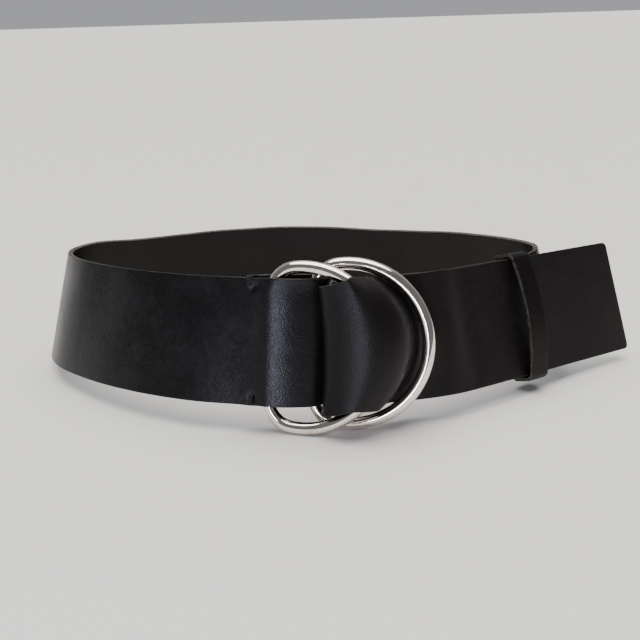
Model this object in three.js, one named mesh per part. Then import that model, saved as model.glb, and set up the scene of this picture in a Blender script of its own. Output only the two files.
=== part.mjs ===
// A wide leather waist belt that closes with two D-rings, shown closed and standing on a surface.
// One strap makes the whole loop. Its left end is folded over the straight bars of both rings. Its
// right end passes behind both rings, comes up through them, turns back over the round side of the
// left ring and under the round side of the right ring, and runs through a keeper to a free end.
//
// The belt is drawn in a frame of its own: X to the right, Y away from the front, Z up, with the
// middle of the strap's width at Z = 0. A last turn tips it back until the rings at the front and
// the strap's lower edge at the back stand on the surface.
import * as THREE from 'three';

const DEG = Math.PI / 180;

// Strap
const STRAP_WIDTH = 60;
const STRAP_THICKNESS = 2.8;
const STRAP_LEAN = 14.4;          // degrees that the strap's lower edge stands out from its upper edge
const LAYER_GAP = 0.3;            // air left between layers that lie on each other
const ACROSS_STEPS = 6;           // strips across the strap's width
const STEPS_PER_KEY = 2;          // strips between two key stations of the route

// Loop, measured to the outer face of one layer at the middle of its width. Its turn is in degrees:
// 0 is the front, 90 the left side, 180 the back.
const LOOP_LEFT = 140.8;
const LOOP_RIGHT = 131.2;
const LOOP_FRONT = 108.4;
const LOOP_BACK = 88;             // behind a line from the left side to the right side
const RIGHT_FORWARD = 34;         // how much further forward the right side is than the left
const LOOP_PINCH = 0.122;         // how much flatter than an ellipse each quarter runs
const LOOP_RISE = -0.4;
const LOOP_STARTS = 15;
const LOOP_ENDS = 261;
const LOOP_STEP = 8.2;

// D-rings, each placed by its round side's centre. What is near them leans as they do.
const WIRE_RADIUS = 3;
const RING_RADIUS = 37.8;         // round side, to the middle of the wire
const BAR_OFFSET = 15.8;          // straight bar, from the middle of the round side
const CORNER_RADIUS = 12.3;
const RING_LEAN = 9;
const RING_SPIN = 1.6;            // degrees that a ring is turned clockwise in its own plane
const RING_STEPS = 56;
const WIRE_SIDES = 12;
const LEFT_RING = { name: 'ring_left', x: -0.9, y: -107, rise: -3.7, yaw: 15 };
const RIGHT_RING = { name: 'ring_right', x: 20, y: -103.1, rise: -3.4, yaw: 7 };
const LEFT_LEAN_GROWS = [22, 60];   // the lean grows from the rings' to the strap's between these
const RIGHT_LEAN_GROWS = [45, 78];  // distances to the side

// Pocket round the two bars
const LEFT_BAR_RISE = -0.4;
const RIGHT_BAR_RISE = -1.2;
const BAR_CLEARANCE = 0.75;
const BAR_BULGE = 0.9;            // how much further the strap stands off the right bar in front
const FOLD_HALF_TURN = 55;        // the fold's stations reach this far round the right bar each way
const FOLD_STEP = 27.5;
const FOLD_BOW = -1.3;

// Hidden stretch behind the tail
const HIDDEN_RISE = -3.3;         // how much lower the strap runs there

// Tail
const TAIL_LEAVES = 320.1;        // turn of the loop at which its straight part leaves
const TAIL_STRAIGHT = 103.9;      // length of the straight part, to the free end
const TAIL_RISE = -2.7;
const END_RISE = -3.1;
const END_SLANT = 2.5;            // the end cut's top is this far back and its foot this far forward

// Keeper
const KEEPER_WIDTH = 11.5;
const KEEPER_THICKNESS = 2;
const KEEPER_ALONG = 32;          // its middle, along the straight part of the tail
const KEEPER_BOW = 5;             // how far its front band stands off the tail at mid height
const KEEPER_CLEARANCE = 0.6;
const KEEPER_STEPS = 10;

// Rest
const TILT = 4.15;                // degrees that the belt is tipped back onto its rear edge
const FLAT_BELOW = 1.2;           // an edge that would be this low is flattened onto the surface
const FLAT_FADE = 4;

const half = STRAP_THICKNESS / 2;
const layer = STRAP_THICKNESS + LAYER_GAP;
const roundWire = WIRE_RADIUS + half + BAR_CLEARANCE;
const ringRise = (LEFT_RING.rise + RIGHT_RING.rise) / 2;
const cornerX = CORNER_RADIUS - BAR_OFFSET;
const cornerY = Math.sqrt((RING_RADIUS - CORNER_RADIUS) ** 2 - cornerX ** 2);

function smooth(from, to, value) {
  return THREE.MathUtils.smoothstep(value, from, to);
}

// The loop's outer face at a turn.
function loopPoint(turn) {
  const s = Math.sin(turn * DEG);
  const c = Math.cos(turn * DEG);
  const width = turn > 180 && c < 0 ? LOOP_RIGHT : LOOP_LEFT;
  const depth = c > 0 ? LOOP_FRONT : LOOP_BACK;
  const forward = c > 0 ? 0 : RIGHT_FORWARD * (1 - s) / 2;
  return new THREE.Vector2(
    -width * s * (1 - LOOP_PINCH * c * c),
    -depth * c * (1 - LOOP_PINCH * s * s) - forward,
  );
}

// Heading in degrees of the outward normal there: 0 faces the front, 90 the left side.
function loopHeading(turn) {
  const step = loopPoint(turn + 0.05).sub(loopPoint(turn - 0.05));
  const heading = Math.atan2(step.y, -step.x) / DEG;
  return heading + 360 * Math.round((turn - heading) / 360);
}

function outward(heading) {
  return new THREE.Vector3(-Math.sin(heading * DEG), -Math.cos(heading * DEG), 0);
}

function sideways(heading) {
  return new THREE.Vector3(Math.cos(heading * DEG), -Math.sin(heading * DEG), 0);
}

function upward(heading, lean) {
  const up = outward(heading).multiplyScalar(-Math.sin(lean * DEG));
  up.z = Math.cos(lean * DEG);
  return up;
}

function leanAt(x, y) {
  const [from, to] = x < 0 ? LEFT_LEAN_GROWS : RIGHT_LEAN_GROWS;
  const away = y < 0 ? smooth(from, to, Math.abs(x)) : 1;
  return THREE.MathUtils.lerp(RING_LEAN, STRAP_LEAN, away);
}

// A key station of the strap's route: where the middle of its thickness runs, how far the strap is
// moved up along its own width, and which way it faces. A bow of 1 curves its width line as the
// round side of a ring, and a bow of -1 as the bar.
function station(x, y, rise, heading, bow = 0) {
  return { place: new THREE.Vector3(x, y, rise), shape: new THREE.Vector3(heading, bow, 0) };
}

function tableStation(row) {
  return station(row.x, row.y, row.rise, row.heading, row.bow);
}

function loopStation(turn, lift, rise) {
  const heading = loopHeading(turn);
  const p = loopPoint(turn);
  const n = outward(heading);
  return station(p.x + n.x * lift, p.y + n.y * lift, rise, heading);
}

// A station beside the straight part of the tail.
function tailStation(along, lift, rise) {
  const start = loopStation(TAIL_LEAVES, LAYER_GAP + half + lift, rise);
  const way = sideways(start.shape.x).multiplyScalar(along);
  return station(start.place.x + way.x, start.place.y + way.y, rise, start.shape.x);
}

// A station that lies on a ring's bar, moved off it to the front, or to the back if negative.
function barStation(ring, off, rise) {
  const across = sideways(ring.yaw).multiplyScalar(-BAR_OFFSET);
  const n = outward(ring.yaw).multiplyScalar(off);
  return station(ring.x + across.x + n.x, ring.y + across.y + n.y, rise, ring.yaw, -1);
}

// A station between two others, moved a little to the front.
function stationBetween(a, b, part, forward) {
  const place = a.place.clone().lerp(b.place, part);
  const shape = a.shape.clone().lerp(b.shape, part);
  return station(place.x, place.y - forward, place.z, shape.x, shape.y);
}

// Pocket round both bars: the short flap under the bars, the fold round the right bar, and the
// layer over the bars, which runs on into the loop.
function pocketStations() {
  const underLeft = barStation(LEFT_RING, -roundWire, LEFT_BAR_RISE);
  const underRight = barStation(RIGHT_RING, -roundWire, RIGHT_BAR_RISE);
  const overRight = barStation(RIGHT_RING, roundWire + BAR_BULGE, RIGHT_BAR_RISE);
  const overLeft = barStation(LEFT_RING, roundWire, LEFT_BAR_RISE);
  const bar = barStation(RIGHT_RING, 0, RIGHT_BAR_RISE).place;
  const fold = [];
  for (let angle = FOLD_HALF_TURN; angle >= -FOLD_HALF_TURN; angle -= FOLD_STEP) {
    const place = bar.clone();
    place.addScaledVector(sideways(RIGHT_RING.yaw), roundWire * Math.cos(angle * DEG));
    place.addScaledVector(outward(RIGHT_RING.yaw), -roundWire * Math.sin(angle * DEG));
    fold.push(station(place.x, place.y, RIGHT_BAR_RISE, RIGHT_RING.yaw, FOLD_BOW));
  }
  const flap = [
    { part: 'short end', x: -29.5, y: -99.7, rise: LEFT_BAR_RISE, heading: 12, bow: -0.5 },
    { part: 'flap', x: -23, y: -98.1, rise: LEFT_BAR_RISE, heading: 13, bow: -0.9 },
  ];
  const front = [
    { part: 'off the left bar', x: -20.6, y: -106.5, rise: LEFT_BAR_RISE, heading: 13, bow: -0.8 },
    { part: 'over the short end', x: -25.5, y: -104.8, rise: -0.5, heading: 13, bow: -0.4 },
  ];
  return [
    ...flap.map(tableStation),
    underLeft,
    stationBetween(underLeft, underRight, 0.5, 0),
    underRight,
    ...fold,
    overRight,
    stationBetween(overRight, overLeft, 0.3, 1.1),
    stationBetween(overRight, overLeft, 0.7, 1.1),
    overLeft,
    ...front.map(tableStation),
  ];
}

// The loop from the pocket round the back to the front, where it runs behind the tail.
function loopStations() {
  const round = [];
  for (let turn = LOOP_STARTS; turn <= LOOP_ENDS; turn += LOOP_STEP) {
    round.push(loopStation(turn, -half, LOOP_RISE));
  }
  const rightSide = [
    { part: 'right side', x: 129.8, y: -36, rise: LOOP_RISE, heading: 272 },
    { part: 'corner behind the free end', x: 127.4, y: -44.8, rise: -1.5, heading: 296 },
    { part: 'corner behind the free end', x: 121.2, y: -51.2, rise: -2.6, heading: 315 },
  ];
  const underKeeper = [36, 20, 7].map((along) => (
    tailStation(along, -layer - LAYER_GAP / 3, HIDDEN_RISE)
  ));
  const toRings = [
    { part: 'behind the tail', x: 75, y: -82.6, rise: HIDDEN_RISE, heading: 329 },
    { part: 'behind the tail', x: 63, y: -88.8, rise: HIDDEN_RISE, heading: 335 },
    { part: 'behind the right ring', x: 52, y: -92, rise: HIDDEN_RISE, heading: 340 },
    { part: 'behind the right ring', x: 42, y: -93.9, rise: -3.8, heading: 343 },
    { part: 'behind the right ring', x: 34, y: -97, rise: -4.8, heading: 345 },
    { part: 'into the rings', x: 26.5, y: -101.4, rise: -5.4, heading: 347 },
    { part: 'into the rings', x: 20.8, y: -104, rise: -5.4, heading: 351 },
  ];
  return [
    ...round,
    ...rightSide.map(tableStation),
    ...underKeeper,
    ...toRings.map(tableStation),
  ];
}

// The turn up through both rings, and the tail over one ring and under the other.
function tailStations() {
  const ridden = [
    { part: 'turn', x: 16.2, y: -106.4, rise: -5.1, heading: 355, bow: 0 },
    { part: 'turn', x: 12.3, y: -109.1, rise: -4.6, heading: 358, bow: 0.02 },
    { part: 'turn', x: 9.9, y: -112.6, rise: -4, heading: 361, bow: 0.12 },
    { part: 'turn', x: 11.4, y: -116.1, rise: -3.2, heading: 364, bow: 0.16 },
    { part: 'rising', x: 15.4, y: -119, rise: -2.1, heading: 368, bow: 0.17 },
    { part: 'rising', x: 20, y: -121.1, rise: -0.7, heading: 371, bow: 0.2 },
    { part: 'crest', x: 24.5, y: -122.4, rise: 0.3, heading: 374, bow: 0.3 },
    { part: 'crest', x: 28.7, y: -123, rise: 0.6, heading: 375, bow: 0.5 },
    { part: 'over the left ring', x: 32.8, y: -122.8, rise: 0.5, heading: 375, bow: 0.65 },
    { part: 'over the left ring', x: 37, y: -121.8, rise: 0.2, heading: 374, bow: 0.8 },
    { part: 'falling', x: 41, y: -119.9, rise: -0.2, heading: 372, bow: 0.9 },
    { part: 'falling', x: 45, y: -116.4, rise: -1, heading: 370, bow: 1 },
    { part: 'falling', x: 49.4, y: -109.1, rise: -2.5, heading: 369, bow: 1.2 },
    { part: 'under the right ring', x: 55.6, y: -101.4, rise: -2.85, heading: 366, bow: 1.25 },
    { part: 'settling', x: 63, y: -96.5, rise: -2.5, heading: 354, bow: 0.85 },
    { part: 'settling', x: 70, y: -92, rise: -2.1, heading: 340, bow: 0.35 },
  ];
  const joining = loopStation(TAIL_LEAVES + 4, LAYER_GAP + half, TAIL_RISE);
  const straight = [0, 0.1, 0.35, 0.6, 0.8, 1].map((part) => (
    tailStation(part * TAIL_STRAIGHT, 0, THREE.MathUtils.lerp(TAIL_RISE, END_RISE, part))
  ));
  return [...ridden.map(tableStation), joining, ...straight];
}

// How far the middle of a ring's wire lies to the side at a height, against mid height.
function wireShift(height, onBar) {
  const spun = height * Math.tan(RING_SPIN * DEG);
  if (onBar) {
    const over = Math.min(Math.max(Math.abs(height) - cornerY, 0), CORNER_RADIUS);
    return spun + CORNER_RADIUS - Math.sqrt(CORNER_RADIUS ** 2 - over ** 2);
  }
  return spun + Math.sqrt(RING_RADIUS ** 2 - Math.min(Math.abs(height), RING_RADIUS) ** 2) - RING_RADIUS;
}

// A point on the middle of the strap's thickness.
function strapPoint(place, shape, across, slant) {
  const heading = shape.x;
  const bow = shape.y;
  const height = across + place.z - ringRise;
  const shift = Math.abs(bow) * wireShift(height, bow < 0) - slant * across / (STRAP_WIDTH / 2);
  const p = new THREE.Vector3(place.x, place.y, 0).addScaledVector(sideways(heading), shift);
  return p.addScaledVector(upward(heading, leanAt(p.x, p.y)), across + place.z);
}

// Height over the surface that the belt stands on, once it is tipped back.
const floorUp = new THREE.Vector3(0, -Math.sin(TILT * DEG), Math.cos(TILT * DEG));

// Where the lower edge comes close to the surface, the strap rests on it and its edge is flattened.
function restOn(floor, shownSide, bodySide) {
  const height = shownSide[0].dot(floorUp) - floor;
  const sink = height * (1 - smooth(FLAT_BELOW, FLAT_FADE, height));
  for (const p of [...shownSide, ...bodySide]) p.addScaledVector(floorUp, -sink);
  for (const p of [shownSide[0], bodySide[0]]) {
    p.addScaledVector(floorUp, Math.max(floor - p.dot(floorUp), 0));
  }
}

// Rows of points across the strap, on the middle of its thickness, from the short end to the free
// end.
function strapRows() {
  const keys = [...pocketStations(), ...loopStations(), ...tailStations()];
  const places = new THREE.CatmullRomCurve3(keys.map((k) => k.place));
  const shapes = new THREE.CatmullRomCurve3(keys.map((k) => k.shape), false, 'catmullrom');
  const last = (keys.length - 1) * STEPS_PER_KEY;
  const rows = [];
  for (let i = 0; i <= last; i += 1) {
    const slant = END_SLANT * smooth(last - STEPS_PER_KEY, last, i);
    const row = [];
    for (let j = 0; j <= ACROSS_STEPS; j += 1) {
      const across = (j / ACROSS_STEPS - 0.5) * STRAP_WIDTH;
      row.push(strapPoint(places.getPoint(i / last), shapes.getPoint(i / last), across, slant));
    }
    rows.push(row);
  }
  return rows;
}

// The two faces of the strap beside a row: the one that lies on the body round the loop and shows
// on the tail, and the one that shows round the loop.
function strapFaces(rows, i) {
  const before = rows[Math.max(i - 1, 0)];
  const after = rows[Math.min(i + 1, rows.length - 1)];
  const bodySide = [];
  const shownSide = [];
  rows[i].forEach((p, j) => {
    const along = after[j].clone().sub(before[j]);
    const up = rows[i][Math.min(j + 1, ACROSS_STEPS)].clone().sub(rows[i][Math.max(j - 1, 0)]);
    const normal = along.cross(up).normalize().multiplyScalar(half);
    bodySide.push(p.clone().add(normal));
    shownSide.push(p.clone().sub(normal));
  });
  return [bodySide, shownSide];
}

function strapGeometry(floor) {
  const rows = strapRows();
  const positions = [];
  rows.forEach((row, i) => {
    const [bodySide, shownSide] = strapFaces(rows, i);
    if (row[0].y > 0) restOn(floor, shownSide, bodySide);
    for (const p of [...bodySide, ...shownSide]) positions.push(...p.toArray());
  });

  const triangles = [];
  const wide = ACROSS_STEPS + 1;
  const last = rows.length - 1;
  const at = (i, side, j) => i * 2 * wide + side * wide + j;
  const quad = (a, b, c, d) => triangles.push(a, b, c, a, c, d);
  for (let i = 0; i < last; i += 1) {
    for (let j = 0; j < ACROSS_STEPS; j += 1) {
      quad(at(i, 0, j), at(i + 1, 0, j), at(i + 1, 0, j + 1), at(i, 0, j + 1));
      quad(at(i, 1, j), at(i, 1, j + 1), at(i + 1, 1, j + 1), at(i + 1, 1, j));
    }
    quad(at(i, 0, 0), at(i, 1, 0), at(i + 1, 1, 0), at(i + 1, 0, 0));
    quad(at(i, 0, wide - 1), at(i + 1, 0, wide - 1), at(i + 1, 1, wide - 1), at(i, 1, wide - 1));
  }
  for (let j = 0; j < ACROSS_STEPS; j += 1) {
    quad(at(0, 0, j), at(0, 0, j + 1), at(0, 1, j + 1), at(0, 1, j));
    quad(at(last, 0, j), at(last, 1, j), at(last, 1, j + 1), at(last, 0, j + 1));
  }
  const geometry = new THREE.BufferGeometry();
  geometry.setAttribute('position', new THREE.Float32BufferAttribute(positions, 3));
  geometry.setIndex(triangles);
  geometry.computeVertexNormals();
  return geometry;
}

// A D of round wire: a round side, two corner bends and a straight bar.
function ringGeometry() {
  const meet = Math.atan2(cornerY, cornerX);
  const outline = new THREE.Path();
  outline.absarc(0, 0, RING_RADIUS, -meet, meet, false);
  outline.absarc(cornerX, cornerY, CORNER_RADIUS, meet, Math.PI, false);
  outline.absarc(cornerX, -cornerY, CORNER_RADIUS, Math.PI, 2 * Math.PI - meet, false);
  const points = outline.getSpacedPoints(RING_STEPS).slice(0, -1);
  const centre = new THREE.CatmullRomCurve3(points.map((p) => new THREE.Vector3(p.x, p.y, 0)), true);
  return new THREE.TubeGeometry(centre, RING_STEPS, WIRE_RADIUS, WIRE_SIDES, true);
}

function ringMesh(ring, material) {
  const mesh = new THREE.Mesh(ringGeometry(), material);
  const across = sideways(ring.yaw);
  const up = upward(ring.yaw, RING_LEAN);
  const basis = new THREE.Matrix4().makeBasis(across, up, across.clone().cross(up));
  basis.multiply(new THREE.Matrix4().makeRotationZ(-RING_SPIN * DEG));
  mesh.name = ring.name;
  mesh.position.set(ring.x, ring.y, 0).addScaledVector(up, ring.rise);
  mesh.rotation.setFromRotationMatrix(basis);
  return mesh;
}

// A flat band round both layers, bowed off the tail in front.
function keeperMesh(material) {
  const middle = tailStation(KEEPER_ALONG, 0, 0);
  const heading = middle.shape.x;
  const top = STRAP_WIDTH / 2 + KEEPER_CLEARANCE + TAIL_RISE;
  const foot = -STRAP_WIDTH / 2 - KEEPER_CLEARANCE + HIDDEN_RISE;
  const front = half + KEEPER_CLEARANCE;
  const back = -front - 2 * layer;
  const band = (grow) => {
    const path = new THREE.Path();
    path.moveTo(foot - grow, back - grow);
    path.lineTo(top + grow, back - grow);
    path.lineTo(top + grow, front + grow);
    path.quadraticCurveTo((top + foot) / 2, front + grow + 2 * KEEPER_BOW, foot - grow, front + grow);
    path.closePath();
    return path;
  };
  const outline = new THREE.Shape(band(KEEPER_THICKNESS).getPoints(KEEPER_STEPS));
  outline.holes.push(band(0));
  const geometry = new THREE.ExtrudeGeometry(outline, {
    depth: KEEPER_WIDTH, bevelEnabled: false, curveSegments: KEEPER_STEPS, steps: 1,
  });
  geometry.translate(0, 0, -KEEPER_WIDTH / 2);
  const up = upward(heading, STRAP_LEAN);
  const along = sideways(heading);
  const mesh = new THREE.Mesh(geometry, material);
  mesh.name = 'keeper';
  mesh.position.copy(middle.place);
  mesh.rotation.setFromRotationMatrix(new THREE.Matrix4().makeBasis(up, along.clone().cross(up), along));
  return mesh;
}

const leather = new THREE.MeshStandardMaterial({ color: 0x1b1b1d, roughness: 0.5, metalness: 0 });
const keeperLeather = new THREE.MeshStandardMaterial({ color: 0x1d1b1b, roughness: 0.55, metalness: 0 });
const chrome = new THREE.MeshStandardMaterial({ color: 0xd8d6d2, roughness: 0.12, metalness: 1 });

const tipped = new THREE.Group();
tipped.rotation.x = -TILT * DEG;
for (const ring of [LEFT_RING, RIGHT_RING]) {
  tipped.add(ringMesh(ring, chrome));
}

// The rings' lowest point sets the surface.
tipped.updateMatrixWorld(true);
const floor = new THREE.Box3().setFromObject(tipped, true).min.z;
const strap = new THREE.Mesh(strapGeometry(floor), leather);
strap.name = 'strap';
tipped.add(strap, keeperMesh(keeperLeather));

// The origin is the middle of the belt's box, on the surface.
const belt = new THREE.Group();
belt.add(tipped);
belt.updateMatrixWorld(true);
const box = new THREE.Box3().setFromObject(belt, true);
const middle = box.getCenter(new THREE.Vector3());
tipped.position.set(-middle.x, -middle.y, -box.min.z);

export default belt;
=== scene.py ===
"""A wide black leather waist belt, closed with two chrome D-rings and standing on its lower edge.

The strap is one surface: a rounded cross-section carried along the belt's route. The route, the
rings and the keeper repeat the construction's own measures, in millimetres in the belt's own frame
(X right, Y away from the front, Z up, the middle of the strap's width at Z = 0), and one last
placement tips the belt back onto the surface, in metres.
"""

import math

import bpy
import numpy as np
from mathutils import Matrix, Vector


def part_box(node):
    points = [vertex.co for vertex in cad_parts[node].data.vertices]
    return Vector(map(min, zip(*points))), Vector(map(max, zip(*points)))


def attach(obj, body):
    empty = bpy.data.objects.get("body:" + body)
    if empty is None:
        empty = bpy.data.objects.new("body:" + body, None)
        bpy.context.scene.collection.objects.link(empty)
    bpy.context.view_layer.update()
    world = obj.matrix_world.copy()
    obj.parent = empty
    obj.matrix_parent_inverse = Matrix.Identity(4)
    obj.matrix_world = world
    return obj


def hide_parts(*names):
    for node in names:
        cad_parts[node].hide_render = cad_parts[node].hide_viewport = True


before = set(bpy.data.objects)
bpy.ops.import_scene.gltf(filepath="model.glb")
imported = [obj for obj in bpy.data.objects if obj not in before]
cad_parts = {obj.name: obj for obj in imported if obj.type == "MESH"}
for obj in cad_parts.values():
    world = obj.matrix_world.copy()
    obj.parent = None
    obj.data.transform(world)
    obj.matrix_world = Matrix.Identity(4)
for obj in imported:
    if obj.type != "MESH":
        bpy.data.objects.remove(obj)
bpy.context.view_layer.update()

MM = 0.001

# Strap
STRAP_WIDTH = 60.0
STRAP_THICKNESS = 2.8
STRAP_LEAN = 14.4
LAYER_GAP = 0.3
EDGE_RADIUS = 0.55          # the cut edge's softened corners
END_CORNER = 2.9            # the free end's rounded corners
ROWS_PER_KEY = 8
FACE_POINTS = 39            # points across each face of the strap
ARC_POINTS = 4              # points round each corner of the cut edge
CORNER_ROWS = 2             # rows over which the rounded corners grow
RIM_REACH = 0.6             # share of the softened corner that counts as cut edge
RIPPLES = (                 # the worn loop waves in and out
    # length, height, lean with the width, start
    (67.0, 0.25, 0.0, 0.7),
    (41.0, 0.125, 1 / 22, 2.0),
)
LOOP_FREE = (17, 20, 42, 45)    # keys between which the ripple grows and fades
RAW_AND_SHEEN_GROWS = (18.5, 24.0)    # keys between which the cut edge grows paler: its raw colour, and painted sheen where it catches the light
RAW_AND_SHEEN_FADES = (47.0, 50.0)    # and duller again
RAW_AND_SHEEN_LEAST = 0.25            # how raw the duller edge looks, where 1 is the rawest, with the most painted sheen

# Loop
LOOP_LEFT = 140.8
LOOP_RIGHT = 131.2
LOOP_FRONT = 108.4
LOOP_BACK = 88.0
RIGHT_FORWARD = 34.0
LOOP_PINCH = 0.122
LOOP_RISE = -0.4
LOOP_STARTS = 15.0
LOOP_ENDS = 261.0
LOOP_STEP = 8.2

# D-rings
WIRE_RADIUS = 3.0
RING_RADIUS = 37.8
BAR_OFFSET = 15.8
CORNER_RADIUS = 12.3
RING_LEAN = 9.0
RING_SPIN = 1.6
RING_STEPS = 256
WIRE_SIDES = 40
LEFT_RING = {"name": "ring_left", "x": -0.9, "y": -107.0, "rise": -3.7, "yaw": 15.0}
RIGHT_RING = {"name": "ring_right", "x": 20.0, "y": -103.1, "rise": -3.4, "yaw": 7.0}
LEFT_LEAN_GROWS = (22.0, 60.0)
RIGHT_LEAN_GROWS = (45.0, 78.0)

# Pocket round the bars
LEFT_BAR_RISE = -0.4
RIGHT_BAR_RISE = -1.2
BAR_CLEARANCE = 0.75
BAR_BULGE = 0.9             # how much further the strap stands off the right bar in front
FRONT_CROWN = 1.1           # how far the front layer stands out between the bars
FOLD_HALF_TURN = 55.0
FOLD_STEP = 27.5
FOLD_BOW = -1.3

# Tail
HIDDEN_RISE = -3.3          # how much lower the strap runs behind the tail
TAIL_JOINS = 324.1          # turn of the loop at which the tail comes to lie on it
TAIL_LEAVES = 320.1         # turn at which it leaves straight ahead
TAIL_STRAIGHT = 103.9
TAIL_RISE = -2.7
END_RISE = -3.1
END_SLANT = 2.5

# Keeper
KEEPER_WIDTH = 11.5
KEEPER_THICKNESS = 2.0
KEEPER_ALONG = 32.0
KEEPER_BOW = 5.0
KEEPER_CLEARANCE = 0.6
KEEPER_CORNER = 3.4         # round the strap's edge, to the middle of the band
KEEPER_EDGE = 0.5
KEEPER_STEPS = 220
KEEPER_FACE_POINTS = 13
KEEPER_RAW = 0.6

# Thread tacks that hold the folded flap
TACK_X = -24.3
FLAP_KEYS = (0, 3)          # keys of the flap
FRONT_KEYS = (13, 16)       # keys of the layer in front of it
TACK_INSET = 4.1            # from the strap's edge to the holes
TACK_TURNS = 3
TACK_SLANT = 0.12
TACK_CORNER = 1.1
TACK_STEPS = 72
TACK_SIDES = 10
THREAD_RADIUS = 0.36
THREAD_PITCH = 2.1          # radii from one turn to the next
THREAD_STANDS = 0.7         # radii from the leather to the middle of the thread
PLY_TWIST = 1.9             # radians that the plies turn in a millimetre
PLY_RIDGE = 0.14
HOLE_DEPTH = 0.8
HOLE_RADIUS = 1.6

# Rest
TILT = 4.15
FLAT_BELOW = 1.2
FLAT_FADE = 4.0

# View and light
IMAGE_SIDE = 640
FOCAL_LENGTH = 924          # in pixels of that image
SENSOR_WIDTH = 36.0
CAMERA_PLACE = (-0.0075, -0.4854, 0.1872)
CAMERA_PITCH = 18.33
CAMERA_ROLL = 1.78
FLOOR_HALF = 30.0
ROOM_COLOUR = (0.95, 0.96, 1.0, 1)
ROOM_FRONT = 0.17           # the room's light in front of the belt
ROOM_BACK = 0.4             # and behind it
ROOM_TURNS = (-0.1, 0.7)    # Y of the directions between which the one goes over into the other
SUN_PLACE = (0.0, 0.2, 2.0)
SUN_COLOUR = (1, 0.985, 0.96)
SUN_WATTS = 4.2             # for each square metre
SUN_SPREAD = 60.0
STRIP_PLACE = (-0.41, -1.41, 0.21)
STRIP_TARGET = (-0.02, -0.09, 0.04)
STRIP_COLOUR = (0.74, 0.75, 1)
STRIP_WATTS = 7.6
STRIP_SIZE = (0.12, 0.5)

HALF = STRAP_THICKNESS / 2
LAYER = STRAP_THICKNESS + LAYER_GAP
ROUND_WIRE = WIRE_RADIUS + HALF + BAR_CLEARANCE
RING_RISE = (LEFT_RING["rise"] + RIGHT_RING["rise"]) / 2
CORNER_X = CORNER_RADIUS - BAR_OFFSET
CORNER_Y = math.sqrt((RING_RADIUS - CORNER_RADIUS) ** 2 - CORNER_X ** 2)
FLOOR_UP = np.array([0.0, -math.sin(math.radians(TILT)), math.cos(math.radians(TILT))])


# Directions and the loop

def smooth(low, high, value):
    """0 below low, 1 above high, and 3t^2 - 2t^3 between them."""
    t = np.clip((value - low) / (high - low), 0.0, 1.0)
    return t * t * (3 - 2 * t)


def outward(heading):
    """Unit vector away from the wearer at a heading in degrees: 0 is the front, 90 the left side."""
    a = np.radians(heading)
    return np.stack([-np.sin(a), -np.cos(a), np.zeros_like(a)], -1)


def sideways(heading):
    """Unit vector to the right along the belt at a heading."""
    a = np.radians(heading)
    return np.stack([np.cos(a), -np.sin(a), np.zeros_like(a)], -1)


def upward(heading, lean):
    """Unit vector up the strap's width: straight up, leaned towards the wearer by lean degrees."""
    a = np.radians(lean)
    up = -outward(heading) * np.sin(a)[..., None]
    up[..., 2] = np.cos(a)
    return up


def lean_at(x, y):
    """The lean at a place: the rings' lean near them, growing smoothly to the strap's own."""
    left = smooth(*LEFT_LEAN_GROWS, np.abs(x))
    right = smooth(*RIGHT_LEAN_GROWS, np.abs(x))
    away = np.where(y < 0, np.where(x < 0, left, right), 1.0)
    return RING_LEAN + (STRAP_LEAN - RING_LEAN) * away


def loop_point(turn):
    """The loop's outer face at a turn: an ellipse of four different quarters, each pinched flatter by
    the square of the cosine or sine, with its right half brought forward."""
    s = np.sin(np.radians(turn))
    c = np.cos(np.radians(turn))
    width = np.where((turn > 180) & (c < 0), LOOP_RIGHT, LOOP_LEFT)
    depth = np.where(c > 0, LOOP_FRONT, LOOP_BACK)
    forward = np.where(c > 0, 0.0, RIGHT_FORWARD * (1 - s) / 2)
    x = -width * s * (1 - LOOP_PINCH * c * c)
    y = -depth * c * (1 - LOOP_PINCH * s * s) - forward
    return np.stack([x, y], -1)


def loop_heading(turn):
    """Heading of the loop's outward normal, from the slope of the loop at the turn."""
    nudge = 0.05
    step = loop_point(turn + nudge) - loop_point(turn - nudge)
    heading = np.degrees(np.arctan2(step[..., 1], -step[..., 0]))
    return heading + 360 * np.round((turn - heading) / 360)


# Stations of the strap's route: x, y, rise, heading, bow

def loop_stations(turn, lift, rise):
    """Stations on the loop, moved off its outer face by lift."""
    turn = np.atleast_1d(np.asarray(turn, float))
    heading = loop_heading(turn)
    place = loop_point(turn) + outward(heading)[:, :2] * lift
    still = np.zeros(len(turn))
    return np.column_stack([place, still + rise, heading, still])


def tail_stations(along, lift, rise):
    """Stations beside the straight part of the tail, at distances along it."""
    along = np.atleast_1d(np.asarray(along, float))
    start = loop_stations(TAIL_LEAVES, LAYER_GAP + HALF + lift, 0.0)[0]
    place = start[:2] + along[:, None] * sideways(start[3])[:2]
    still = np.zeros(len(along))
    return np.column_stack([place, still + rise, still + start[3], still])


def bar_station(ring, off, rise):
    """The station on a ring's bar, moved off it to the front by off."""
    middle = np.array([ring["x"], ring["y"]])
    place = middle - BAR_OFFSET * sideways(ring["yaw"])[:2] + off * outward(ring["yaw"])[:2]
    return np.array([place[0], place[1], rise, ring["yaw"], -1.0])


def between(a, b, part, forward):
    """A station between two others, moved a little to the front."""
    mixed = a + (b - a) * part
    return mixed - np.array([0.0, forward, 0.0, 0.0, 0.0])


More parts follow.
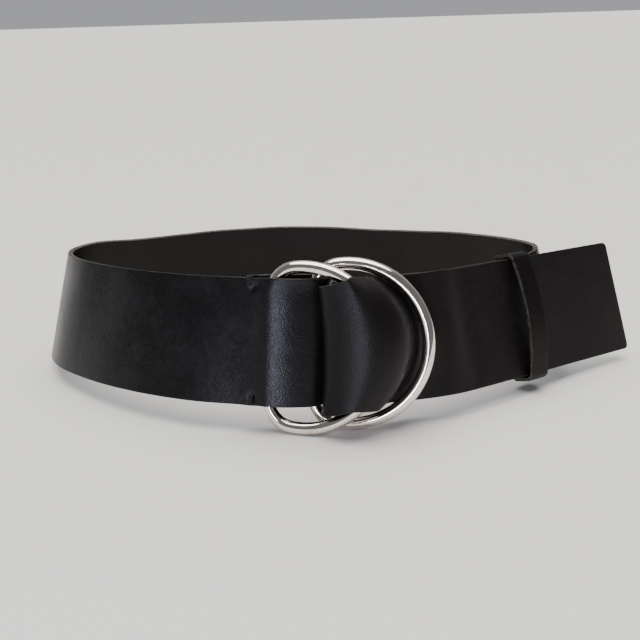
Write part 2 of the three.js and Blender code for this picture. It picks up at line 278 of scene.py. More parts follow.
def pocket_stations():
    """The flap under both bars, the half-turn fold round the right bar, and the layer over them."""
    under_left = bar_station(LEFT_RING, -ROUND_WIRE, LEFT_BAR_RISE)
    under_right = bar_station(RIGHT_RING, -ROUND_WIRE, RIGHT_BAR_RISE)
    over_right = bar_station(RIGHT_RING, ROUND_WIRE + BAR_BULGE, RIGHT_BAR_RISE)
    over_left = bar_station(LEFT_RING, ROUND_WIRE, LEFT_BAR_RISE)
    bar = bar_station(RIGHT_RING, 0.0, RIGHT_BAR_RISE)
    yaw = RIGHT_RING["yaw"]
    angle = np.radians(np.arange(FOLD_HALF_TURN, -FOLD_HALF_TURN - 1, -FOLD_STEP))
    round_bar = np.cos(angle)[:, None] * sideways(yaw)[:2] - np.sin(angle)[:, None] * outward(yaw)[:2]
    still = np.zeros(len(angle))
    fold = np.column_stack([
        bar[:2] + ROUND_WIRE * round_bar, still + RIGHT_BAR_RISE, still + yaw, still + FOLD_BOW])
    flap = np.array([
        # x, y, rise, heading, bow
        (-29.5, -99.7, LEFT_BAR_RISE, 12.0, -0.5),
        (-23.0, -98.1, LEFT_BAR_RISE, 13.0, -0.9),
    ])
    front = np.array([
        # x, y, rise, heading, bow
        (-20.6, -106.5, LEFT_BAR_RISE, 13.0, -0.8),
        (-25.5, -104.8, -0.5, 13.0, -0.4),
    ])
    under = between(under_left, under_right, 0.5, 0.0)
    over = [between(over_right, over_left, part, FRONT_CROWN) for part in (0.3, 0.7)]
    return np.vstack([
        flap, under_left, under, under_right, fold, over_right, over[0], over[1], over_left, front])


def round_stations():
    """The loop from the pocket round the back to the front, where it runs behind the tail."""
    turns = np.arange(LOOP_STARTS, LOOP_ENDS + 0.01, LOOP_STEP)
    right_side = np.array([
        # x, y, rise, heading, bow
        (129.8, -36.0, LOOP_RISE, 272.0, 0.0),
        (127.4, -44.8, -1.5, 296.0, 0.0),
        (121.2, -51.2, -2.6, 315.0, 0.0),
    ])
    under_keeper = tail_stations([36.0, 20.0, 7.0], -LAYER - LAYER_GAP / 3, HIDDEN_RISE)
    to_rings = np.array([
        # x, y, rise, heading, bow
        (75.0, -82.6, HIDDEN_RISE, 329.0, 0.0),
        (63.0, -88.8, HIDDEN_RISE, 335.0, 0.0),
        (52.0, -92.0, HIDDEN_RISE, 340.0, 0.0),
        (42.0, -93.9, -3.8, 343.0, 0.0),
        (34.0, -97.0, -4.8, 345.0, 0.0),
        (26.5, -101.4, -5.4, 347.0, 0.0),
        (20.8, -104.0, -5.4, 351.0, 0.0),
    ])
    return np.vstack([loop_stations(turns, -HALF, LOOP_RISE), right_side, under_keeper, to_rings])


def end_stations():
    """The turn up through both rings, the tail over one ring and under the other, and its straight
    part to the free end."""
    ridden = np.array([
        # x, y, rise, heading, bow
        (16.2, -106.4, -5.1, 355.0, 0.0),
        (12.3, -109.1, -4.6, 358.0, 0.02),
        (9.9, -112.6, -4.0, 361.0, 0.12),
        (11.4, -116.1, -3.2, 364.0, 0.16),
        (15.4, -119.0, -2.1, 368.0, 0.17),
        (20.0, -121.1, -0.7, 371.0, 0.2),
        (24.5, -122.4, 0.3, 374.0, 0.3),
        (28.7, -123.0, 0.6, 375.0, 0.5),
        (32.8, -122.8, 0.5, 375.0, 0.65),
        (37.0, -121.8, 0.2, 374.0, 0.8),
        (41.0, -119.9, -0.2, 372.0, 0.9),
        (45.0, -116.4, -1.0, 370.0, 1.0),
        (49.4, -109.1, -2.5, 369.0, 1.2),
        (55.6, -101.4, -2.85, 366.0, 1.25),
        (63.0, -96.5, -2.5, 354.0, 0.85),
        (70.0, -92.0, -2.1, 340.0, 0.35),
    ])
    joining = loop_stations(TAIL_JOINS, LAYER_GAP + HALF, TAIL_RISE)
    part = np.array([0.0, 0.1, 0.35, 0.6, 0.8, 1.0])
    straight = tail_stations(part * TAIL_STRAIGHT, 0.0, TAIL_RISE + (END_RISE - TAIL_RISE) * part)
    return np.vstack([ridden, joining, straight])


def curve_through(keys, steps, spaced):
    """Cubic Hermite curve through the keys. Its slopes are half the step between a key's neighbours,
    or where it is spaced, the centripetal ones, which weigh each side by the root of its length."""
    ends = np.vstack([2 * keys[0] - keys[1], keys, 2 * keys[-1] - keys[-2]])
    a, b, c, d = ends[:-3], ends[1:-2], ends[2:-1], ends[3:]
    if spaced:
        root = np.sqrt(np.linalg.norm(np.diff(ends, axis=0), axis=1))[:, None]
        before, across, after = root[:-2], root[1:-1], root[2:]
        leave = (b - a) / before - (c - a) / (before + across) + (c - b) / across
        arrive = (c - b) / across - (d - b) / (across + after) + (d - c) / after
        leave = leave * across
        arrive = arrive * across
    else:
        leave = (c - a) / 2
        arrive = (d - b) / 2
    t = (np.arange(steps) / steps)[None, :, None]
    b, c, leave, arrive = (part[:, None, :] for part in (b, c, leave, arrive))
    cubic = (2 * b - 2 * c + leave + arrive) * t ** 3 + (3 * c - 3 * b - 2 * leave - arrive) * t ** 2
    points = (cubic + leave * t + b).reshape(-1, keys.shape[1])
    return np.vstack([points, keys[-1]])


# Strap

def wire_shift(height, on_bar):
    """How far a ring's wire lies to the side at a height: its round side as a circle's sagitta, its
    bar as a straight line that bends at the corners. The ring's spin tips both."""
    spun = height * math.tan(math.radians(RING_SPIN))
    over = np.clip(np.abs(height) - CORNER_Y, 0, CORNER_RADIUS)
    bar = CORNER_RADIUS - np.sqrt(CORNER_RADIUS ** 2 - over ** 2)
    arc = np.sqrt(RING_RADIUS ** 2 - np.minimum(np.abs(height), RING_RADIUS) ** 2) - RING_RADIUS
    return spun + np.where(on_bar, bar, arc)


def strap_middle(route, across, last):
    """The middle of the strap's thickness: each station's place, moved sideways by the bow of its
    width line, and carried up the leaning width by across. The free end is cut at a slant, and its
    corners are arcs of a circle."""
    place, rise, heading, bow = route[:, :2], route[:, 2:3], route[:, 3:4], route[:, 4:5]
    row = route[:, 5:6]
    across = np.broadcast_to(across, (len(route), across.shape[-1]))
    shift = np.abs(bow) * wire_shift(across + rise - RING_RISE, bow < 0)
    shift = shift - END_SLANT * smooth(last - ROWS_PER_KEY, last, row) * across / (STRAP_WIDTH / 2)
    over = np.clip(np.abs(across) - STRAP_WIDTH / 2 + END_CORNER, 0, END_CORNER)
    corner = END_CORNER - np.sqrt(END_CORNER ** 2 - over ** 2)
    shift = shift - corner * smooth(last - CORNER_ROWS, last, row)
    heading = np.broadcast_to(heading, across.shape)
    foot = np.zeros(across.shape + (3,))
    foot[..., :2] = place[:, None, :]
    foot = foot + sideways(heading) * shift[..., None]
    lean = lean_at(foot[..., 0], foot[..., 1])
    return foot + upward(heading, lean) * (across + rise)[..., None]


def strap_route():
    """Rows of the strap's route: x, y, rise, heading, bow and the row's own number."""
    keys = np.vstack([pocket_stations(), round_stations(), end_stations()])
    places = curve_through(keys[:, :3], ROWS_PER_KEY, True)
    shapes = curve_through(keys[:, 3:], ROWS_PER_KEY, False)
    return np.column_stack([places, shapes, np.arange(len(places))])


def section(width, thickness, radius, face_points):
    """A flat band's closed cross-section: two faces joined by edges with rounded corners. Columns
    are the place across the width and the lift off the middle; it runs up the face with the
    positive lift and down the other, with its points drawn closer towards the edges."""
    flat = width / 2 - radius
    high = thickness / 2 - radius
    bend = np.radians(np.linspace(0, 90, ARC_POINTS + 1))
    rise = np.column_stack([flat + radius * np.sin(bend), high + radius * np.cos(bend)])
    up = flat * np.sin(np.radians(np.linspace(-90, 90, face_points)))[1:-1]
    front = np.column_stack([up, np.full(len(up), thickness / 2)])
    half_loop = np.vstack([front, rise, rise[::-1] * (1, -1)])
    return np.vstack([half_loop, half_loop * (-1, -1)])


def edge_share(cut, width, radius):
    """1 on a band's cut edge and 0 on its faces."""
    return (np.abs(cut[:, 0]) > width / 2 - radius * RIM_REACH).astype(float)


def grid_mesh(name, points, closed_rows=False, capped=False, uv=None, marks=None):
    """Mesh of a grid of points, rows along the path and columns round the closed section. marks are
    named numbers for each point."""
    rows, columns = points.shape[:2]
    index = np.arange(rows * columns).reshape(rows, columns)
    start = index if closed_rows else index[:-1]
    after = np.roll(index, -1, axis=0) if closed_rows else index[1:]
    quads = np.stack([start, after, np.roll(after, -1, axis=1), np.roll(start, -1, axis=1)], -1)
    corners = quads.ravel()
    starts = np.arange(0, len(corners), 4)
    if capped:
        starts = np.concatenate([starts, len(corners) + columns * np.arange(2)])
        corners = np.concatenate([corners, index[0], index[-1][::-1]])
    mesh = bpy.data.meshes.new(name)
    mesh.vertices.add(rows * columns)
    mesh.vertices.foreach_set("co", points.astype(np.float32).ravel())
    mesh.loops.add(len(corners))
    mesh.loops.foreach_set("vertex_index", corners.astype(np.int32))
    mesh.polygons.add(len(starts))
    mesh.polygons.foreach_set("loop_start", starts.astype(np.int32))
    mesh.polygons.foreach_set("use_smooth", np.ones(len(starts), bool))
    mesh.update(calc_edges=True)
    for mark, values in (marks or {}).items():
        layer = mesh.attributes.new(mark, "FLOAT", "POINT")
        layer.data.foreach_set("value", np.asarray(values, np.float32).ravel())
    if uv is not None:
        layer = mesh.uv_layers.new(name="UVMap")
        layer.data.foreach_set("uv", uv.reshape(-1, 2)[corners].astype(np.float32).ravel())
    return mesh


def rest_on(floor, points, at_back):
    """Where the lower edge comes close to the surface at the back, the strap sinks onto it and its
    edge is flattened there."""
    low = (points @ FLOOR_UP - floor).min(axis=1)
    sink = np.where(at_back, low * (1 - smooth(FLAT_BELOW, FLAT_FADE, low)), 0.0)
    points = points - sink[:, None, None] * FLOOR_UP
    under = np.maximum(floor - points @ FLOOR_UP, 0.0)
    return points + np.where(at_back[:, None], under, 0.0)[..., None] * FLOOR_UP


def strap_surface(route, across):
    """The middle of the strap's thickness and its unit normal, the cross product of its slopes along
    the route and across the width. The normal points to the side that lies on the body."""
    last = len(route) - 1
    nudge = 0.5
    middle = strap_middle(route, across, last)
    up = strap_middle(route, across + nudge, last) - strap_middle(route, across - nudge, last)
    normal = np.cross(np.gradient(middle, axis=0), up)
    return middle, normal / np.linalg.norm(normal, axis=-1, keepdims=True)


def ripple(along, across, row):
    """How far the worn loop stands out: sines of the length that may lean with the width, faded out
    where layers lie on each other."""
    grow_from, grow_to, fade_from, fade_to = (key * ROWS_PER_KEY for key in LOOP_FREE)
    free = smooth(grow_from, grow_to, row) * (1 - smooth(fade_from, fade_to, row))
    waves = sum(
        height * np.sin(2 * math.pi / length * along + lean * across + start)
        for length, height, lean, start in RIPPLES)
    return free * waves


def pit(along, across, at_along, at_across, depth, radius):
    """A round dent: depth times the bell curve of the distance from its middle."""
    away = (along - at_along) ** 2 + (across - at_across) ** 2
    return depth * np.exp(-away / radius ** 2)


def nearest_row(route, keys):
    """The row between two keys that lies nearest to the tacks."""
    part = route[keys[0] * ROWS_PER_KEY:keys[1] * ROWS_PER_KEY]
    return int(part[np.argmin(np.abs(part[:, 0] - TACK_X)), 5])


def tack_row(route):
    """The row of the front layer at the tacks."""
    return nearest_row(route, FRONT_KEYS)


def strap_points(floor):
    """The strap's surface: the rounded section carried along the route, each point off the middle by
    its lift along the normal, with the ripple and the dents."""
    route = strap_route()
    cut = section(STRAP_WIDTH, STRAP_THICKNESS, EDGE_RADIUS, FACE_POINTS)
    across, lift = cut[None, :, 0], cut[None, :, 1]
    middle, normal = strap_surface(route, across)
    step = np.linalg.norm(np.diff(middle.mean(axis=1), axis=0), axis=1)
    along = np.concatenate([[0.0], np.cumsum(step)])
    run = along[:, None]
    stands = lift - ripple(run, across, route[:, 5:6])
    tack = along[tack_row(route)]
    for hole in (STRAP_WIDTH / 2 - TACK_INSET, TACK_INSET - STRAP_WIDTH / 2):
        stands = stands + (lift < 0) * pit(run, across, tack, hole, HOLE_DEPTH, HOLE_RADIUS)
    points = middle + normal * stands[..., None]
    points = rest_on(floor, points, middle[:, np.argmin(cut[:, 0]), 1] > 0)
    points = round_end(points, sideways(route[0, 3]), normal[0], cut[:, 1], True)
    points = round_end(points, sideways(route[-1, 3]), normal[-1], cut[:, 1], False)
    along = np.pad(along, ARC_POINTS, mode="edge")
    keys = np.pad(route[:, 5], ARC_POINTS, mode="edge") / ROWS_PER_KEY
    return points, along, keys, cut


def round_end(points, way, normal, lift, first):
    """Rounds the cut at one end of a band: its last rows step forward by the sine of an angle while
    their thickness shrinks by the cosine."""
    angle = np.radians(np.linspace(0, 90, ARC_POINTS + 1))
    ahead = EDGE_RADIUS * (np.sin(angle) - 1)
    thinned = -EDGE_RADIUS * (1 - np.cos(angle)) / HALF
    row = points[0] if first else points[-1]
    sign = -1 if first else 1
    cap = row + sign * ahead[:, None, None] * way + (normal * lift[:, None]) * thinned[:, None, None]
    return np.vstack([cap[::-1], points[1:]]) if first else np.vstack([points[:-1], cap])


def placed(points, shift):
    """Tips points back about X by the tilt, moves them by the shift, and gives metres."""
    t = math.radians(TILT)
    x, y, z = points[..., 0], points[..., 1], points[..., 2]
    tipped = np.stack([x, y * math.cos(t) + z * math.sin(t), z * math.cos(t) - y * math.sin(t)], -1)
    return (tipped + shift) * MM


# Rings

def ring_wire():
    """The middle of a D's wire and its direction, at even steps of its length: the round side about
    the centre, a corner bend, the straight bar, and the other corner bend."""
    meet = math.atan2(CORNER_Y, CORNER_X)
    lengths = np.array([
        2 * meet * RING_RADIUS, (math.pi - meet) * CORNER_RADIUS, 2 * CORNER_Y,
        (math.pi - meet) * CORNER_RADIUS])
    ends = np.cumsum(lengths)
    s = np.arange(RING_STEPS) / RING_STEPS * ends[-1]
    piece = np.searchsorted(ends, s, side="right")
    gone = s - np.concatenate([[0.0], ends[:-1]])[piece]
    angle = np.select(
        [piece == 0, piece == 1, piece == 2],
        [gone / RING_RADIUS - meet, meet + gone / CORNER_RADIUS, np.full_like(s, math.pi)],
        math.pi + gone / CORNER_RADIUS)
    radius = np.where(piece == 0, RING_RADIUS, CORNER_RADIUS)
    centre_x = np.where(piece == 0, 0.0, CORNER_X)
    centre_y = np.select(
        [piece == 0, piece == 1, piece == 2], [0.0 * s, CORNER_Y + 0.0 * s, CORNER_Y - gone], -CORNER_Y)
    away = np.column_stack([np.cos(angle), np.sin(angle)])
    return np.column_stack([centre_x, centre_y]) + away * radius[:, None], away, s


def ring_points(ring):
    """Round wire carried along the D, in the ring's own plane, then turned and moved to its place."""
    centre, away, s = ring_wire()
    turn = np.radians(np.arange(WIRE_SIDES) * 360 / WIRE_SIDES)
    flat = centre[:, None, :] + WIRE_RADIUS * np.cos(turn)[None, :, None] * away[:, None, :]
    deep = np.broadcast_to(WIRE_RADIUS * np.sin(turn), flat.shape[:2])
    spin = math.radians(RING_SPIN)
    x = flat[..., 0] * math.cos(spin) + flat[..., 1] * math.sin(spin)
    y = flat[..., 1] * math.cos(spin) - flat[..., 0] * math.sin(spin)
    side = sideways(ring["yaw"])
    up = upward(ring["yaw"], np.array(RING_LEAN))
    face = np.cross(side, up)
    middle = np.array([ring["x"], ring["y"], 0.0]) + up * ring["rise"]
    points = middle + x[..., None] * side + y[..., None] * up + deep[..., None] * face
    around = np.broadcast_to(turn * WIRE_RADIUS, flat.shape[:2])
    uv = np.stack([np.broadcast_to(s[:, None], flat.shape[:2]), around], -1) * MM
    return points, uv


# Keeper and tacks

def rounded_loop(high, deep, corner, steps):
    """A closed path round a rectangle whose corners are quarter circles, at even steps of its length.
    It starts at the foot of the side of positive v and goes up it. Columns are u, the height, and
    v; the second result is the length gone at each step."""
    flat_u, flat_v, bend = high - corner, deep - corner, math.pi / 2 * corner
    ends = np.cumsum([2 * flat_u, bend, 2 * flat_v, bend] * 2)
    s = np.arange(steps) / steps * ends[-1]
    piece = np.searchsorted(ends, s, side="right")
    gone = s - np.concatenate([[0.0], ends[:-1]])[piece]
    turning = piece % 2
    angle = (piece // 2) * math.pi / 2 + turning * gone / corner
    straight = (1 - turning) * gone
    start_u = flat_u * np.array([-1, 1, 1, 1, 1, -1, -1, -1])[piece]
    start_v = flat_v * np.array([1, 1, 1, -1, -1, -1, -1, 1])[piece]
    way_u = np.array([1, 0, 0, 0, -1, 0, 0, 0])[piece]
    way_v = np.array([0, 0, -1, 0, 0, 0, 1, 0])[piece]
    u = start_u + way_u * straight + corner * np.sin(angle)
    v = start_v + way_v * straight + corner * np.cos(angle)
    return np.column_stack([u, v]), s


def path_off(path):
    """Unit normals of a closed path that point outside it: its direction turned a quarter left."""
    step = np.roll(path, -1, axis=0) - np.roll(path, 1, axis=0)
    step /= np.linalg.norm(step, axis=1, keepdims=True)
    return np.column_stack([-step[:, 1], step[:, 0]])


def keeper_points():
    """A flat band carried round both layers: a rounded rectangle whose front side bows out as a
    parabola of the height."""
    middle = tail_stations(KEEPER_ALONG, 0.0, 0.0)[0]
    grow = KEEPER_THICKNESS / 2
    top = STRAP_WIDTH / 2 + KEEPER_CLEARANCE + TAIL_RISE + grow
    foot = -STRAP_WIDTH / 2 - KEEPER_CLEARANCE + HIDDEN_RISE - grow
    front = HALF + KEEPER_CLEARANCE + grow
    back = -front - 2 * LAYER
    high, deep = (top - foot) / 2, (front - back) / 2
    path, s = rounded_loop(high, deep, KEEPER_CORNER - grow, KEEPER_STEPS)
    bowed = KEEPER_BOW * (1 - (path[:, 0] / high) ** 2) * smooth(0, deep, path[:, 1])
    path = path + np.column_stack([np.full(len(s), (top + foot) / 2), (front + back) / 2 + bowed])
    cut = section(KEEPER_WIDTH, KEEPER_THICKNESS, KEEPER_EDGE, KEEPER_FACE_POINTS)[::-1]
    flat = path[:, None, :] + path_off(path)[:, None, :] * cut[None, :, 1:2]
    side = sideways(middle[3])
    up = upward(middle[3], np.array(STRAP_LEAN))
    out = np.cross(side, up)
    place = np.array([middle[0], middle[1], 0.0])
    points = place + flat[..., :1] * up + flat[..., 1:] * out + cut[None, :, :1] * side
    uv = np.stack(np.broadcast_arrays(s[:, None], cut[None, :, 0]), -1) * MM
    rim = np.broadcast_to(edge_share(cut, KEEPER_WIDTH, KEEPER_EDGE), points.shape[:2])
    return points, uv, rim


def tack_loops():
    """Turns of thread over the strap's two edges: each is a closed rounded loop round both layers of
    the flap, and the thread's round section swells twice where its two plies twist along it."""
    route = strap_route()
    middle, normal = strap_surface(route, np.array([[0.0]]))
    row = tack_row(route)
    flap = nearest_row(route, FLAP_KEYS)
    out = -normal[row, 0]
    depth = float((middle[row, 0] - middle[flap, 0]) @ out)
    lean = float(lean_at(middle[row, 0, 0], middle[row, 0, 1]))
    up = upward(route[row, 3], np.array(lean))
    side = np.cross(up, out)
    centre = (middle[row, 0] + middle[flap, 0]) / 2
    high = TACK_INSET / 2 + THREAD_RADIUS
    deep = depth / 2 + HALF + THREAD_RADIUS * THREAD_STANDS
    path, s = rounded_loop(high, deep, TACK_CORNER, TACK_STEPS)
    turn = np.radians(np.arange(TACK_SIDES) * 360 / TACK_SIDES)[None, :]
    radius = THREAD_RADIUS * (1 + PLY_RIDGE * np.cos(2 * turn - PLY_TWIST * s[:, None]))
    flat = path[:, None, :] + path_off(path)[:, None, :] * (radius * np.cos(turn))[..., None]
    aside = path[:, :1] * TACK_SLANT - radius * np.sin(turn)
    loops = []
    for edge in (1, -1):
        level = edge * (STRAP_WIDTH - TACK_INSET) / 2
        for index in range(TACK_TURNS):
            beside = aside + (index - (TACK_TURNS - 1) / 2) * THREAD_RADIUS * THREAD_PITCH
            loops.append(
                centre + (flat[..., :1] + level) * up + flat[..., 1:] * out + beside[..., None] * side)
    return loops


# Shader maths

class Socket:
    """A shader socket. Arithmetic on it adds Math nodes to its tree."""

    def __init__(self, tree, socket):
        self.tree = tree
        self.socket = socket

    def maths(self, operation, *values):
        node = self.tree.nodes.new("ShaderNodeMath")
        node.operation = operation
        for slot, value in zip(node.inputs, values):
            if isinstance(value, Socket):
                self.tree.links.new(value.socket, slot)
            else:
                slot.default_value = value
        return Socket(self.tree, node.outputs[0])

    def __add__(self, other):
        return self.maths("ADD", self, other)

    def __radd__(self, other):
        return self.maths("ADD", other, self)

    def __sub__(self, other):
        return self.maths("SUBTRACT", self, other)

    def __rsub__(self, other):
        return self.maths("SUBTRACT", other, self)

    def __mul__(self, other):
        return self.maths("MULTIPLY", self, other)

    def __rmul__(self, other):
        return self.maths("MULTIPLY", other, self)


class Nodes:
    """A node tree, with one way to add any node."""

    def __init__(self, tree):
        self.tree = tree

    def node(self, kind, settings=None, inputs=None, output=0):
        """Adds a node: its settings first, then the values or links of its sockets."""
        node = self.tree.nodes.new("ShaderNode" + kind)
        for key, value in (settings or {}).items():
            setattr(node, key, value)
        for key, value in (inputs or {}).items():
            if isinstance(value, Socket):
                self.tree.links.new(value.socket, node.inputs[key])
            else:
                node.inputs[key].default_value = value
        return Socket(self.tree, node.outputs[output])

    def noise(self, place, scale, detail=2.0, roughness=0.5):
        """Noise from 0 to 1, about 0.5, with scale features in a metre."""
        values = {"Vector": place, "Scale": scale, "Detail": detail, "Roughness": roughness}
        return self.node("TexNoise", None, values)

    def share(self, value, low, high):
        """0 below low, 1 above high, smooth between them."""
        limits = {"Value": value, "From Min": low, "From Max": high}
        return self.node("MapRange", {"interpolation_type": "SMOOTHSTEP"}, limits)

    def blend(self, share, first, second):
        """A colour between two others."""
        return self.node("Mix", {"data_type": "RGBA"}, {0: share, 6: first, 7: second}, 2)


class Finish(Nodes):
    """A material: one Principled shader, whose constants are set on its own sockets."""

    def __init__(self, name, **constants):
        self.material = bpy.data.materials.new(name)
        self.material.use_nodes = True
        super().__init__(self.material.node_tree)
        self.shader = self.tree.nodes["Principled BSDF"]
        for label, value in constants.items():
            self.shader.inputs[label.replace("_", " ")].default_value = value

    def feed(self, label, value):
        self.tree.links.new(value.socket, self.shader.inputs[label])

    def feed_bump(self, height):
        """Feeds Normal from a height in metres."""
        self.feed("Normal", self.node("Bump", None, {"Height": height, "Distance": 1.0}))


# Finishes

BLACK_FACE = (0.0054, 0.0053, 0.0061, 1)
BLACK_WORN = (0.0098, 0.0096, 0.0112, 1)
BROWN_FACE = (0.0038, 0.0026, 0.0024, 1)
BROWN_WORN = (0.0064, 0.0048, 0.0044, 1)
CUT_DARK = (0.012, 0.0105, 0.0085, 1)
CUT_OLIVE_AND_SHEEN = (0.115, 0.110, 0.086, 1)
STRAP_SHINE = 0.24
KEEPER_SHINE = 0.15
# The chrome colours are the metal's pale colour with a warm cast painted in: a painted reflection of a
# beige surround.
CHROME_CLEAN_AND_WARM_REFLECTION = (0.87, 0.81, 0.735, 1)
CHROME_DULLED_AND_WARM_REFLECTION = (0.70, 0.63, 0.55, 1)
THREAD_DARK = (0.006, 0.006, 0.006, 1)
THREAD_PALE = (0.02, 0.019, 0.018, 1)
FLOOR_COLOUR = (0.88, 0.865, 0.84, 1)

# Features in a metre
PATCHES = 42
MOTTLE = 310
GRAIN = 1500
FIBRES = 900
SMEARS = 90
FLUFF = 2400
LINES = (60.0, 2600.0, 1.0)     # along the wire, round it, and through it

# Heights in metres
PATCH_HEIGHT = 0.00035
MOTTLE_HEIGHT = 0.00005
GRAIN_HEIGHT = 0.00011
FIBRE_HEIGHT = 0.00012
SCRATCH_HEIGHT = -0.0000025
SMEAR_HEIGHT = 0.00002
FLUFF_HEIGHT = 0.00004


def leather(name, shine):
    """Smooth black leather: a fine grain and slow changes of shade and gloss on its faces, brownish
    on the side that lies on the body, and a fibrous cut edge that an attribute lightens: partly its
    raw colour, and partly painted sheen along the loop's sides, where the edge catches the light."""
    finish = Finish(name, Specular_IOR_Level=shine)
    place = finish.node("TexCoord", None, None, "Object")
    rim = finish.node("Attribute", {"attribute_name": "rim"}, None, "Fac")
    raw_and_sheen = finish.node("Attribute", {"attribute_name": "raw_and_sheen"}, None, "Fac")
    body_side = finish.node("Attribute", {"attribute_name": "body_side"}, None, "Fac")
    patches = finish.noise(place, PATCHES, 3.0)
    mottle = finish.noise(place, MOTTLE, 2.0)
    grain = finish.noise(place, GRAIN, 0.5)
    fibres = finish.noise(place, FIBRES, 4.0, 0.7)

    worn = finish.share(patches * 0.7 + mottle * 0.3, 0.44, 0.68)
    black = finish.blend(worn, BLACK_FACE, BLACK_WORN)
    brown = finish.blend(worn, BROWN_FACE, BROWN_WORN)
    face = finish.blend(body_side, black, brown)
    # The cut edge's olive is its raw colour; where the attribute rises along the loop's sides it also
    # stands for painted sheen, light caught by the edge.
    cut = finish.blend(finish.share(fibres, 0.32, 0.62) * raw_and_sheen, CUT_DARK, CUT_OLIVE_AND_SHEEN)
    finish.feed("Base Color", finish.blend(rim, face, cut))

    gloss = 0.26 + worn * 0.08 + mottle * 0.06 + body_side * 0.12
    finish.feed("Roughness", gloss + rim * 0.3)

    relief = grain * GRAIN_HEIGHT + mottle * MOTTLE_HEIGHT + patches * PATCH_HEIGHT
    finish.feed_bump(relief + rim * fibres * FIBRE_HEIGHT)
    return finish.material


def chrome():
    """Polished chrome with faint smears and a few fine scratches along the wire. Its colours are the
    metal's own pale colour with a warm cast painted in, a painted reflection of a beige surround.
    """
    finish = Finish("ring_chrome", Metallic=1.0)
    place = finish.node("TexCoord", None, None, "Object")
    along = finish.node("TexCoord", None, None, "UV")
    drawn = finish.node("Mapping", None, {"Vector": along, "Scale": LINES})
    smears = finish.noise(place, SMEARS, 3.0)
    lines = finish.noise(drawn, 1, 3.0, 0.6)
    scratches = finish.share(lines, 0.60, 0.72)
    dulled = finish.share(smears, 0.48, 0.72)
    finish.feed("Base Color", finish.blend(dulled, CHROME_CLEAN_AND_WARM_REFLECTION, CHROME_DULLED_AND_WARM_REFLECTION))
    finish.feed("Roughness", 0.06 + dulled * 0.07 + scratches * 0.10)
    finish.feed_bump(scratches * SCRATCH_HEIGHT + smears * SMEAR_HEIGHT)
    return finish.material


def thread():
    """Black waxed thread."""
    finish = Finish("thread", Specular_IOR_Level=0.3, Roughness=0.6)
    place = finish.node("TexCoord", None, None, "Object")
    fluff = finish.noise(place, FLUFF, 3.0, 0.7)
    finish.feed("Base Color", finish.blend(fluff, THREAD_DARK, THREAD_PALE))
    finish.feed_bump(fluff * FLUFF_HEIGHT)
    return finish.material


# Pieces

def piece(name, mesh, material, slot, node=None):
    """An object of a finished mesh. It may stand for a construction node."""
    mesh.materials.append(material)
    made = bpy.data.objects.new(name, mesh)
    bpy.context.scene.collection.objects.link(made)
    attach(made, "root")
    if node:
        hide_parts(node)


def belt_shift(points, floor):
    """The move that puts the belt on the surface, with the strap where the construction has it."""
    low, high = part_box("strap")
    wanted = (np.array(low) + np.array(high)) / 2 / MM
    tipped = placed(points, np.zeros(3)) / MM
    middle = (tipped.min(axis=(0, 1)) + tipped.max(axis=(0, 1))) / 2
    return np.array([wanted[0] - middle[0], wanted[1] - middle[1], -floor])


def build_belt():
    rings = [ring_points(ring) for ring in (LEFT_RING, RIGHT_RING)]
    floor = min((points @ FLOOR_UP).min() for points, uv in rings)
    points, along, keys, cut = strap_points(floor)
    shift = belt_shift(points, floor)

    uv = np.stack(np.broadcast_arrays(along[:, None], cut[None, :, 0]), -1) * MM
    shape = points.shape[:2]
    # The cut edge is paler from the loop's left side round the back to its right side: its raw colour,
    # with painted sheen where the edge catches the light.
    rawer_and_sheen = smooth(*RAW_AND_SHEEN_GROWS, keys) * (1 - smooth(*RAW_AND_SHEEN_FADES, keys))
    raw_and_sheen = RAW_AND_SHEEN_LEAST + (1 - RAW_AND_SHEEN_LEAST) * rawer_and_sheen
    marks = {
        "rim": np.broadcast_to(edge_share(cut, STRAP_WIDTH, EDGE_RADIUS), shape),
        "body_side": np.broadcast_to(cut[:, 1] > 0, shape),
        "raw_and_sheen": np.broadcast_to(raw_and_sheen[:, None], shape),
    }
    mesh = grid_mesh("strap_belt", placed(points, shift), capped=True, uv=uv, marks=marks)
    hide = leather("strap_leather", STRAP_SHINE)
    piece("strap_belt", mesh, hide, "strap_leather", "strap")

    metal = chrome()
    for ring, (points, uv) in zip((LEFT_RING, RIGHT_RING), rings):
        name = ring["name"] + "_wire"
        mesh = grid_mesh(name, placed(points, shift), closed_rows=True, uv=uv)
        piece(name, mesh, metal, "ring_chrome", ring["name"])

    points, uv, rim = keeper_points()
    marks = {"rim": rim, "raw_and_sheen": rim * KEEPER_RAW, "body_side": np.ones(rim.shape)}
    mesh = grid_mesh("keeper_band", placed(points, shift), closed_rows=True, uv=uv, marks=marks)
    hide = leather("keeper_leather", KEEPER_SHINE)
    piece("keeper_band", mesh, hide, "keeper_leather", "keeper")

    waxed = thread()
    for index, points in enumerate(tack_loops()):
        name = "tack_thread_" + str(index + 1)
        mesh = grid_mesh(name, placed(points, shift), closed_rows=True)
        piece(name, mesh, waxed, "thread")


# Stage

def floor_plane():
    corners = [(-1, -1, 0), (1, -1, 0), (1, 1, 0), (-1, 1, 0)]
    mesh = bpy.data.meshes.new("floor")
    mesh.from_pydata([Vector(corner) * FLOOR_HALF for corner in corners], [], [(0, 1, 2, 3)])
    mesh.materials.append(Finish("pale_floor", Base_Color=FLOOR_COLOUR, Roughness=0.8).material)
    floor = bpy.data.objects.new("floor", mesh)
    bpy.context.scene.collection.objects.link(floor)


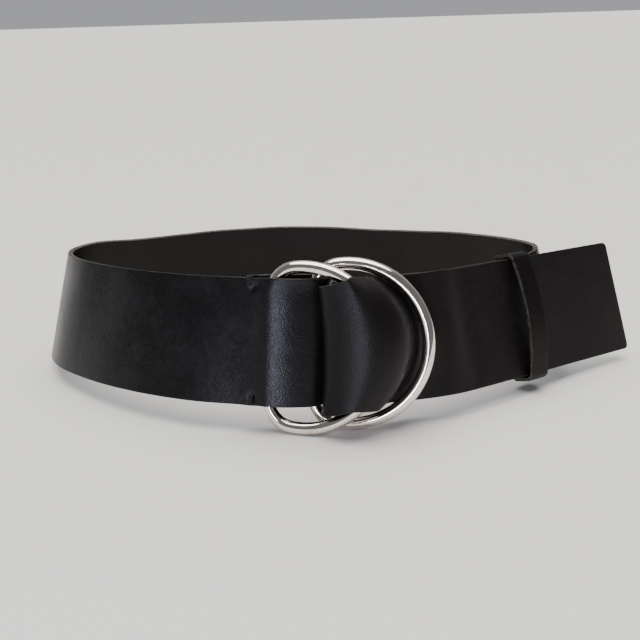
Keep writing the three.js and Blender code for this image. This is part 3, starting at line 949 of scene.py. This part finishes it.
def lamp(name, kind, place, target, watts, colour):
    """A lamp that points at a target. Its watts are per square metre for a sun."""
    data = bpy.data.lights.new(name, kind)
    data.energy = watts
    data.color = colour
    made = bpy.data.objects.new(name, data)
    made.location = place
    made.rotation_euler = (Vector(target) - Vector(place)).to_track_quat("-Z", "Y").to_euler()
    bpy.context.scene.collection.objects.link(made)
    return data


def camera():
    """The photo's own view: level heading along Y, pitched down, with a slight roll."""
    pitch = math.radians(CAMERA_PITCH)
    roll = math.radians(CAMERA_ROLL)
    forward = Vector((0, math.cos(pitch), -math.sin(pitch)))
    level = Vector((1, 0, 0))
    above = Vector((0, math.sin(pitch), math.cos(pitch)))
    right = level * math.cos(roll) - above * math.sin(roll)
    up = level * math.sin(roll) + above * math.cos(roll)
    data = bpy.data.cameras.new("camera")
    data.sensor_width = SENSOR_WIDTH
    data.lens = SENSOR_WIDTH * FOCAL_LENGTH / IMAGE_SIDE
    made = bpy.data.objects.new("camera", data)
    turn = Matrix((right, up, -forward)).transposed().to_4x4()
    made.matrix_world = Matrix.Translation(CAMERA_PLACE) @ turn
    bpy.context.scene.collection.objects.link(made)
    bpy.context.scene.camera = made


def studio():
    """Soft room light, dim in front of the belt and bright behind it, with a wide soft sun overhead
    and a narrow lamp in front."""
    world = bpy.data.worlds.new("studio")
    world.use_nodes = True
    room = Nodes(world.node_tree)
    way = room.node("TexCoord", None, None, "Generated")
    back = room.node("SeparateXYZ", None, {"Vector": way}, "Y")
    strength = ROOM_FRONT + room.share(back, *ROOM_TURNS) * (ROOM_BACK - ROOM_FRONT)
    background = world.node_tree.nodes["Background"]
    background.inputs["Color"].default_value = ROOM_COLOUR
    world.node_tree.links.new(strength.socket, background.inputs["Strength"])
    bpy.context.scene.world = world
    overhead = lamp("overhead", "SUN", SUN_PLACE, (0, 0, 0), SUN_WATTS, SUN_COLOUR)
    overhead.angle = math.radians(SUN_SPREAD)
    strip = lamp("strip", "AREA", STRIP_PLACE, STRIP_TARGET, STRIP_WATTS, STRIP_COLOUR)
    strip.shape = "RECTANGLE"
    strip.size, strip.size_y = STRIP_SIZE


camera()
build_belt()
floor_plane()
studio()
